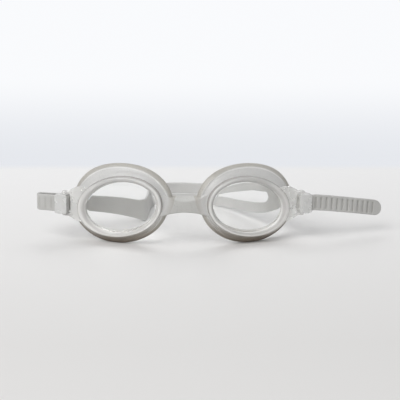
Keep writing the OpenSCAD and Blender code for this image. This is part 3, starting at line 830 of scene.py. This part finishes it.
def corner_cut(end):
    """A wedge that takes the corner off the arms at the open end."""
    start, tip = hinge_u + clip_reach - 3 * clip_corner, hinge_u + clip_reach + 0.6
    half_h = arm_z + arm_t
    wedge = [(start, half_h), (tip, half_h - 1.28 * clip_corner), (tip, half_h + 1),
             (start, half_h + 1)]
    outline = [(u, end * v - hinge_drop) for u, v in wedge]
    return plate("wedge", outline, (hinge_w - 8, hinge_w + 6), "w", 1, 0.001)


def right_clip():
    arms = plate_pair(clip_arm_outline(), arm_z, arm_t, 1, 0.18)
    middle, outer = hinge_w - wrap_r, slot_half + clip_wall
    walls = ((hinge_u - ear_r + 0.1, (middle - outer, middle - slot_half)),
             (hinge_u + wrap_r + sleeve_gap, (middle + slot_half, middle + outer)))
    front, back = (plate("wall", clip_wall_outline(start), at_w, "w", 1, 0.25)
                   for start, at_w in walls)
    obj = unite(arms[0], [front, arms[1], back])
    unite(obj, [corner_cut(1), corner_cut(-1), bore(1)], "DIFFERENCE")
    shade_by_angle(obj, 32)
    return obj


def across_the_nose(source):
    """The mirror image of a body, on the other side of the nose."""
    mesh = source.data.copy()
    for vertex in mesh.vertices:
        vertex.co.x = 2 * shift[0] * MM - vertex.co.x
    mesh.flip_normals()
    return place_object("mirrored", mesh)


body = right_clip()
for obj, word in ((across_the_nose(body), "left"), (body, "right")):
    obj.name = word + "_clip_sleeve"
    dress(obj, temple_plastic)
    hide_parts(word + "_clip")
    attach(obj, word + "_clip")
    print(obj.name, "has", len(obj.data.polygons), "faces")

# %% [markdown]
# ## The strap
# The strap is one long moulding, so it is drawn as one path seen from above, with a lower and an upper edge:
# from its left end round the left pin and out through the clip, back through the fold, round the head,
# through the right clip and out to its free end. A soft body could be let fall into this shape, but would
# not lie where the real one lies. The points are given instead, as shares of the way to the pin and of the
# loop's depth.

# %% Route round the head
split_h = 2 * band_h + slit_gap
LEFT_PART = [
    (-0.96, 0.20, 0.79, strap_h), (-0.775, 0.285, 0.643, strap_h),
    (-0.62, 0.36, 0.48, 0.8 * strap_h + 0.2 * split_h),
    (-0.48, 0.42, 0.31, 0.6 * strap_h + 0.4 * split_h),
    (-0.385, 0.46, 0.16, 0.4 * strap_h + 0.6 * split_h)]
SPLIT_PART = [(across, back, lift, split_h + more) for across, back, lift, more in (
    (-0.322, 0.505, 0, 1), (-0.307, 0.60, 0, 0.5), (-0.292, 0.73, 0, 0), (-0.277, 0.85, 0, 0.3),
    (-0.235, 0.95, 0, 0.6), (-0.14, 0.99, 0, 0.8), (0.04, 1, 0, 0.8), (0.21, 0.972, 0.01, 0.8),
    (0.39, 0.868, 0.075, 2.4), (0.51, 0.718, 0.16, 4.6), (0.63, 0.50, 0.337, 6.8),
    (0.70, 0.373, 0.472, 6.2), (0.757, 0.293, 0.605, 4.6))]
RIGHT_PART = [(0.825, 0.228, 0.77, strap_h + 3), (0.904, 0.173, 0.90, strap_h),
              (0.952, 0.113, 0.97, strap_h)]


def ahead(h):
    return np.array([math.cos(h), math.sin(h)])


def right_of(h):
    return np.array([math.sin(h), -math.cos(h)])


def routed(across, back, lift, height):
    """Shares of the way across, back and up, and a height, become a point of the route."""
    low = lift * (hinge_z - strap_h / 2)
    return np.array([across * hinge_x, hinge_y + back * loop_depth, low, low + height])


print("the route has", len(LEFT_PART + SPLIT_PART + RIGHT_PART), "points")

# %% [markdown]
# The path becomes one list of close stations: place, lower edge and upper edge. At the left end it
# is made of straights and arcs, as the strap turns round the pin and folds back on itself.

# %% Stations at the left end
def eased(share):
    """A share kept between 0 and 1, with a soft start and end."""
    k = min(max(share, 0), 1)
    return k * k * (3 - 2 * k)


path = []
marks = {}


def station(p, low, high):
    path.append((p[0], p[1], low, high))


def level(p, rise=0.0):
    station(p, hinge_z + rise - strap_h / 2, hinge_z + rise + strap_h / 2)


left_pin, right_pin = np.array([-hinge_x, hinge_y]), np.array([hinge_x, hinge_y])
left_out = math.pi - lens_yaw
stub_heading = left_out + math.pi / 2
stub = left_pin - wrap_r * right_of(stub_heading)
for s in np.linspace(stub_length, 0, 6):
    level(stub - s * ahead(stub_heading))
for h in np.linspace(stub_heading, left_out, 14)[1:]:
    level(left_pin - wrap_r * right_of(h))
leg_start = left_pin - wrap_r * right_of(left_out)
for s in np.arange(0.5, fold_reach + 0.1, 0.5):
    level(leg_start + s * ahead(left_out), fold_rise * eased((s - clip_reach) / climb_run))
marks["leg_end"] = len(path) - 1
fold_middle = leg_start + fold_reach * ahead(left_out) + fold_r * right_of(left_out)
for h in np.linspace(left_out, left_out - math.radians(fold_turn), 24)[1:]:
    level(fold_middle - fold_r * right_of(h), fold_rise)
marks["fold_end"] = len(path) - 1

print(len(path), "stations to the end of the fold")

# %% [markdown]
# Round the head the strap is a curve that passes through all the listed points. A curve that only comes near
# its points is smoother, but would leave the places that were read off the real strap. Where the curve would
# dip under the table, the whole cut face is lifted.

# %% Stations round the head
inner = lens_yaw - math.pi / 2
inner_end = right_pin + wrap_r * right_of(inner)
route = [np.array(path[-1])]
route += [routed(*r) for r in LEFT_PART + SPLIT_PART + RIGHT_PART]
pin_low_edge, pin_high_edge = hinge_z - strap_h / 2, hinge_z + strap_h / 2
route += [np.array([*(inner_end - 4.5 * ahead(inner)), pin_low_edge, pin_high_edge]),
          np.array([*inner_end, pin_low_edge, pin_high_edge])]


def route_at(q):
    """A smooth curve through the route's points."""
    last = len(route) - 1
    i = min(int(q), last - 1)
    t = q - i
    a, b, c, d = (route[min(max(j, 0), last)] for j in (i - 1, i, i + 1, i + 2))
    return (2 * b + (c - a) * t + (2 * a - 5 * b + 4 * c - d) * t * t
            + (3 * b - a - 3 * c + d) * t * t * t) / 2


split_from, split_to = 1 + len(LEFT_PART), len(LEFT_PART) + len(SPLIT_PART)
STEP = 12
for i in range(1, (len(route) - 1) * STEP + 1):
    x, y, low, high = route_at(i / STEP)
    low_clear = max(0, low)
    station((x, y), low_clear, high + low_clear - low)
    if i == split_from * STEP:
        marks["split_from"] = len(path) - 1
    if i == split_to * STEP:
        marks["split_to"] = len(path) - 1
    if i == (len(route) - 5) * STEP:
        marks["inner_run"] = len(path) - 1
print(len(path), "stations to the right pin")

# %% [markdown]
# At the right the strap turns round the pin and leaves through the clip. Then it bends and droops
# in a long, slow arc, as a free end of silicone does.

# %% Stations at the right end
for h in np.linspace(inner, lens_yaw, 14)[1:]:
    level(right_pin + wrap_r * right_of(h))
marks["tail"] = len(path) - 1

tail_straight = clip_reach + tail_lead
tail_arc_r = (tail_length - tail_straight) / math.radians(tail_bend)
tail_start = right_pin + wrap_r * right_of(lens_yaw)
tail_bend_at = tail_start + tail_straight * ahead(lens_yaw)
tail_middle = tail_bend_at - tail_arc_r * right_of(lens_yaw)
for s in np.linspace(0, tail_length, 117)[1:]:
    heading = lens_yaw + max(0, s - tail_straight) / tail_arc_r
    p = (tail_start + s * ahead(lens_yaw) if s < tail_straight
         else tail_middle + tail_arc_r * right_of(heading))
    droop = tail_droop * (max(0, s - tail_straight) / (tail_length - tail_straight)) ** 1.2
    level(p, -droop)
print(len(path), "stations in all")

# %% [markdown]
# The stations become smooth functions of the distance along the strap, so that any stretch can be
# cut into as many rings as it needs: few where it is plain, and many across each tooth.

# %% Distance along the strap
path = np.array(path)
steps = np.linalg.norm(np.diff(path[:, :2], axis=0), axis=1)
along = np.concatenate([[0], np.cumsum(steps)])
headings = np.unwrap(np.arctan2(np.gradient(path[:, 1], along), np.gradient(path[:, 0], along)))
at = {name: along[i] for name, i in marks.items()}
total = along[-1]
print("strap is", round(total), "mm long; split from", round(at["split_from"]), "to",
      round(at["split_to"]), "mm")


def strap_at(s):
    """Place, heading, lower edge and upper edge at a distance along the strap."""
    x, y, low, high = (np.interp(s, along, path[:, i]) for i in range(4))
    return x, y, np.interp(s, along, headings), low, high


# %% [markdown]
# A tooth is what is left between two grooves. Each groove has sloped walls and stops short of the
# edges, so plain rails run along the strap. Only the two ends are toothed. The grooves could be cut
# one by one, but it is simpler to let the depth of the cut face follow the distance along.

# %% Teeth
LEFT_TEETH_END = at["fold_end"] + 34
RIGHT_TEETH_START = at["tail"] - 21
groove_slope = 0.3
tip_round = strap_h / 2
first_groove = 0.3 + (at["leg_end"] - 0.3) % tooth_pitch
left_grooves = np.arange(first_groove, LEFT_TEETH_END - groove_w, tooth_pitch)
last_groove = total - tip_round + 1 - tooth_pitch
right_grooves = np.arange(last_groove, RIGHT_TEETH_START, -tooth_pitch)
grooves = np.concatenate([left_grooves, right_grooves])
print(len(left_grooves), "grooves at the left end,", len(right_grooves), "at the right end")


def groove_depth(s):
    inside = np.minimum(s - grooves, grooves + groove_w - s)
    return groove_d * eased(inside.max() / groove_slope)


def ring_places(start, end, plain_step):
    """Distances for rings: even on plain stretches, close across the grooves."""
    places = list(np.linspace(start, end, max(2, int(abs(end - start) / plain_step) + 1)))
    for g in grooves:
        for k in (-0.1, 0.05, 0.15, 0.3, 0.5):
            places += [g + k, g + groove_w - k]
    places = np.unique(np.round([p for p in places if start - 1e-6 <= p <= end + 1e-6], 4))
    keep = [places[0]]
    for p in places[1:]:
        if p - keep[-1] > 0.045:
            keep.append(p)
    keep[-1] = end
    return keep


# %% [markdown]
# The cut face is a rectangle with rounded corners, with extra points where the rails end and the
# groove begins. In the split stretch it is made for one band, and the corner next to the slit
# shrinks to nothing where the slit ends. All cut faces have the same number of points, and so both
# bands grow out of the strap without a seam.

# %% Cut face of the strap
CORNER = 0.5
SLIT_END_LEFT, SLIT_END_RIGHT = 1.6, 3.4
BACK_FLARE = 0.10
CLOSE_TOP, CLOSE_FADE, CLOSE_MORE = 20.5, 4.0, 0.7


def slit_half(s, gap):
    """Half the opening between the bands, rounded at both ends of the slit."""
    to_left, to_right = s - at["split_from"], at["split_to"] - s
    radius = SLIT_END_LEFT if to_left < to_right else SLIT_END_RIGHT
    inside = min(max(min(to_left, to_right), 0), radius)
    return gap * math.sqrt(radius ** 2 - (radius - inside) ** 2) / radius


def corner_arc(n_sign, z_sign, half_t, edge_z, radius):
    """Points round one corner, from the side face to the edge face."""
    return [(n_sign * (half_t - radius + radius * math.cos(t)),
             edge_z - z_sign * radius * (1 - math.sin(t))) for t in np.radians([0, 30, 60, 90])]


def band_at(height):
    """Height of one band: a little taller where the two lie close, behind the head."""
    return band_h + CLOSE_MORE * eased((CLOSE_TOP - height) / CLOSE_FADE)


def flare_share(s):
    """How much the strap leans outward at its lower edge: only behind the head."""
    k = (s - at["split_from"]) / (at["split_to"] - at["split_from"])
    return math.sin(math.pi * min(max(k, 0), 1)) ** 2


def cut_face(s, part):
    x, y, heading, low, high = strap_at(s)
    middle = (low + high) / 2
    half_t = strap_t / 2
    low_corner = high_corner = CORNER
    tip = s - (total - tip_round)
    if tip > 0:
        reach = tip_round * math.sqrt(max(0.0004, 1 - (tip / tip_round) ** 2))
        low, high = middle - reach, middle + reach
        left_over = min(tip_round - tip, CORNER)
        half_t += math.sqrt(CORNER ** 2 - (CORNER - left_over) ** 2) - CORNER
        low_corner = high_corner = min(CORNER, reach * 0.9, half_t * 0.9)
    if part != "whole":
        half_gap = slit_half(s, (high - low) / 2 - band_at(high - low))
        slit_corner = min(CORNER, max(0.001, slit_half(s, 1) * CORNER))
        if part == "lower":
            high, high_corner = middle - half_gap, slit_corner
        else:
            low, low_corner = middle + half_gap, slit_corner
    depth = groove_depth(s) if part == "whole" else 0
    rail = min(rail_h, (high - low) / 3)
    groove = [(0, 0.85 * rail), (0.5, rail), (1, 1.15 * rail), (1, 0.4 * (high - low))]
    face = [(half_t - k * depth, low + up) for k, up in groove]
    face += [(half_t - k * depth, high - down) for k, down in groove[::-1]]
    back = [(-half_t, high - 0.25 * (high - low)), (-half_t, (low + high) / 2),
            (-half_t, low + 0.25 * (high - low))]
    outline = (corner_arc(1, -1, half_t, low, low_corner)[::-1] + face
               + corner_arc(1, 1, half_t, high, high_corner)
               + corner_arc(-1, 1, half_t, high, high_corner)[::-1] + back
               + corner_arc(-1, -1, half_t, low, low_corner))
    side_way, lean = right_of(heading), BACK_FLARE * flare_share(s)
    points = []
    for n, z in outline:
        off = n + lean * (z - middle)
        points.append((x + side_way[0] * off, y + side_way[1] * off, z))
    return points


print("a cut face has", len(cut_face(0, "whole")), "points")

# %% [markdown]
# Any stretch of the strap is a row of cut faces, and its rounded tip has closer ones. Each piece stores a
# share for its grooves, painted shade on the groove floors and on the back behind them, and a share for its
# unsplit part, painted shade outside the slit.

# %% A stretch of strap
GROOVE_FLOOR, BACK_OF_GROOVE = [6, 7, 8, 9], [20, 21, 22]
WHOLE_REACH, WHOLE_FADE = 14, 20


def strap_piece(name, start, end, part="whole", caps=(False, False), step=1.4):
    places = ring_places(start, end, step)
    if end > total - tip_round:
        turns = np.radians(np.linspace(0, 90, 14))
        tip_places = total - tip_round + tip_round * np.sin(turns) * 0.9999
        places = [p for p in places if p < total - tip_round - 0.05] + list(tip_places)
    rings = [cut_face(s, part) for s in places]
    obj = ring_object(name, to_part(rings), caps=caps)
    # painted shade: the groove floors and the back behind each groove are darker
    inner_points = np.zeros(len(rings[0]))
    inner_points[GROOVE_FLOOR + BACK_OF_GROOVE] = 1
    share = [groove_depth(s) / groove_d * (part == "whole") for s in places]
    write_share(obj, "groove", np.outer(share, inner_points).ravel())
    # painted shade: the strap outside the slit is darker than the two bands
    whole = [(max(at["split_from"] - s, s - at["split_to"]) + WHOLE_REACH) / WHOLE_FADE
             for s in places]
    write_share(obj, "painted_shade_unsplit", np.repeat(whole, len(inner_points)))
    dress(obj, strap_silicone)
    print(name, "has", len(places), "rings")
    return obj


def part_point(s):
    """The middle of the strap at a distance along it, in metres."""
    x, y, heading, low, high = strap_at(s)
    return tuple(to_part([[x, y, (low + high) / 2]])[0])


# %% [markdown]
# The fold turns with the left clip, the loop stays with the goggles, and the free end slides in the
# right clip. One mesh for the whole strap couldn't follow all of them. Each stretch is a piece that
# rides on its body, and the stretch between two bodies bends from one to the other.

# %% Pieces of the strap
fold = strap_piece("strap_left_fold", 0, at["fold_end"], caps=(True, False), step=0.8)
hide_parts("left_strap_fold")
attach(fold, "left_clip")

left_leg = strap_piece("strap_left_leg", at["fold_end"], at["split_from"])
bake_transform(left_leg, "left_clip", "goggles", start=part_point(at["fold_end"]),
         end=part_point(at["fold_end"] + 45))

lower = strap_piece("strap_lower_band", at["split_from"], at["split_to"], "lower")
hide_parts("head_strap")
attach(lower, "goggles")

right_leg = strap_piece("strap_right_leg", at["split_to"], at["inner_run"])
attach(right_leg, "goggles")

wrap = strap_piece("strap_right_wrap", at["inner_run"], at["tail"], step=0.7)
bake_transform(wrap, "goggles", "right_clip", start=part_point(at["inner_run"]),
         end=part_point(at["tail"] - 2.5))

tail = strap_piece("strap_free_end", at["tail"], total, caps=(False, True))
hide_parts("right_tail")
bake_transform(tail, "right_clip", "right_tail", start=part_point(at["tail"]),
         end=part_point(at["tail"] + 5))

# %% [markdown]
# The upper band lifts from the lower one about a line through both ends of the slit. Each of its
# halves bends from the goggles to the band over a short way at its end.

# %% Upper band
top_of_loop = (at["split_from"] + at["split_to"]) / 2
upper_left = strap_piece("strap_upper_band_left", at["split_from"], top_of_loop, "upper")
upper_right = strap_piece("strap_upper_band_right", top_of_loop, at["split_to"], "upper")
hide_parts("upper_band")
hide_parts("upper_band")
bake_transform(upper_left, "goggles", "upper_band", start=part_point(at["split_from"] + 1),
         end=part_point(at["split_from"] + 24))
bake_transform(upper_right, "upper_band", "goggles", start=part_point(at["split_to"] - 26),
         end=part_point(at["split_to"] - 1))

# %% [markdown]
# ## Table, light and camera
# The goggles lie on a white table. Behind it the ground turns a paler blue. A wall could show this,
# but it would stand in the way of the other views, so it is painted into the floor.

# %% Table
def soft_step(tree, value, start, end, kind="SMOOTHSTEP"):
    return add_node(tree, "MapRange", {"From Min": start, "From Max": end, "Value": value},
                    "Result", interpolation_type=kind)


def seen_by(tree, *kinds):
    """1 for the kinds of ray that look at a backdrop, and 0 for those that carry its light."""
    rays = tree.nodes.new("ShaderNodeLightPath")
    seen = rays.outputs[kinds[0]]
    for kind in kinds[1:]:
        seen = add_node(tree, "Math", {0: seen, 1: rays.outputs[kind]}, operation="MAXIMUM")
    return seen


table = make_object("table", [(-3, -3, 0), (3, -3, 0), (3, 3, 0), (-3, 3, 0)], [(0, 1, 2, 3)])
table_white, tree, shader, place = new_material("table white")
back = add_node(tree, "SeparateXYZ", {"Vector": place}, "Y")
# painted light: the table's white runs from darker in front to lighter toward the back, standing in for
# light that grows toward the back
near_to_far = soft_step(tree, back, -0.20, 0.14, "LINEAR")
shade = ramp(tree, near_to_far, ((0.765, 0.754, 0.74), (0.95, 0.945, 0.94)), 0, 1)
feed(tree, shader, {"Base Color": shade, "Roughness": 0.5, "Specular IOR Level": 0.2})
sky = ramp(tree, soft_step(tree, back, 0.16, 0.55), ((0.79, 0.81, 0.85), (0.95, 0.96, 0.98)), 0, 1)
wall = add_node(tree, "Emission", {"Color": sky})
seen = seen_by(tree, "Is Camera Ray", "Is Transmission Ray")
beyond = add_node(tree, "Math", {0: seen, 1: soft_step(tree, back, 0.145, 0.165)},
                  operation="MULTIPLY")
both = add_node(tree, "MixShader", {"Fac": beyond, 1: shader.outputs["BSDF"], 2: wall})
feed(tree, tree.nodes["Material Output"], {"Surface": both})
table.data.materials.append(table_white)
table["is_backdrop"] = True
print("the table has", len(tree.nodes), "nodes in its finish")

# %% [markdown]
# Seen directly, in a gloss or through clear plastic, the world is grey at the horizon and nearly
# white above, which gives clear edges a dark and a light side. Lit by the same sky, the shadows
# would be washed out, so as a light the world is one dim tone.

# %% World
SKY_TONE = (0.97, 0.98, 1.0)
world = bpy.data.worlds.new("studio")
bpy.context.scene.world = world
world.use_nodes = True
tree = world.node_tree
up = add_node(tree, "SeparateXYZ", {"Vector": add_node(tree, "TexCoord", {}, "Generated")}, "Z")
sky = ramp(tree, up, ((0.42, 0.41, 0.40), SKY_TONE), 0.02, 0.45)
backdrop = add_node(tree, "Background", {"Color": sky, "Strength": 1.0})
ambient = add_node(tree, "Background", {"Color": (*SKY_TONE, 1), "Strength": 0.36})
seen = seen_by(tree, "Is Camera Ray", "Is Glossy Ray", "Is Transmission Ray")
both = add_node(tree, "MixShader", {"Fac": seen, 1: ambient, 2: backdrop})
feed(tree, tree.nodes["World Output"], {"Surface": both})
print("the world has", len(tree.nodes), "nodes")

# %% [markdown]
# The light comes from a large window in front on the left, and weakly from the ceiling behind. Both
# are as large as a real window, so the shadow under the cups is short and soft.

# %% Lamps
def lamp(name, place, target, size, power):
    light = bpy.data.lights.new(name, "AREA")
    light.shape = "RECTANGLE"
    light.size, light.size_y = size
    light.energy = power
    obj = place_object(name, light)
    obj.location = place
    obj.rotation_euler = (Vector(target) - Vector(place)).to_track_quat("-Z", "Y").to_euler()


lamp("window", (-0.9, -1.2, 1.4), (0, 0, 0), (1.5, 1.1), 26.8)
lamp("ceiling", (0.15, 0.7, 1.1), (0, 0.1, 0), (1.2, 0.8), 3.8)
print("lamps:", [light.name for light in bpy.data.lights])

# %% [markdown]
# The camera stands in front of the goggles, a little above and to the side of them. Its place
# follows from a direction, a distance and the point between the lenses, because these can be changed
# one at a time, and a typed place can't.

# %% Camera
AZIMUTH, ELEVATION = math.radians(3.0), math.radians(16.0)
DISTANCE, ROLL = 0.750, 0.0131
OFF_RIGHT, OFF_UP = 0.00954, 0.00485
looking = Vector((math.sin(AZIMUTH) * math.cos(ELEVATION),
                  math.cos(AZIMUTH) * math.cos(ELEVATION), -math.sin(ELEVATION)))
rightward = Vector((math.cos(AZIMUTH), -math.sin(AZIMUTH), 0))
upward = rightward.cross(looking)
between_eyes = Vector(to_part([[0, 0, eye_z]])[0])
camera = place_object("camera", bpy.data.cameras.new("camera"))
camera.location = between_eyes - DISTANCE * looking + OFF_RIGHT * rightward + OFF_UP * upward
level_turn = looking.to_track_quat("-Z", "Y")
camera.rotation_euler = (Quaternion(looking, -ROLL) @ level_turn).to_euler()
camera.data.lens = 109
camera.data.sensor_width = 36
bpy.context.scene.camera = camera
bpy.context.scene.view_settings.view_transform = "Standard"
print("camera at", [round(v, 3) for v in camera.location])

# %% [markdown]
# ## Finish
# The boxes of the solid model and of the finished surfaces are gathered, and the finished one is printed.

# %% Sizes and end
low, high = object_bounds()
sizes = {"cad": [list(cad_low), list(cad_high)], "visual": [list(low), list(high)]}
print("visual box, mm:", [[round(v / MM, 1) for v in corner] for corner in (low, high)])
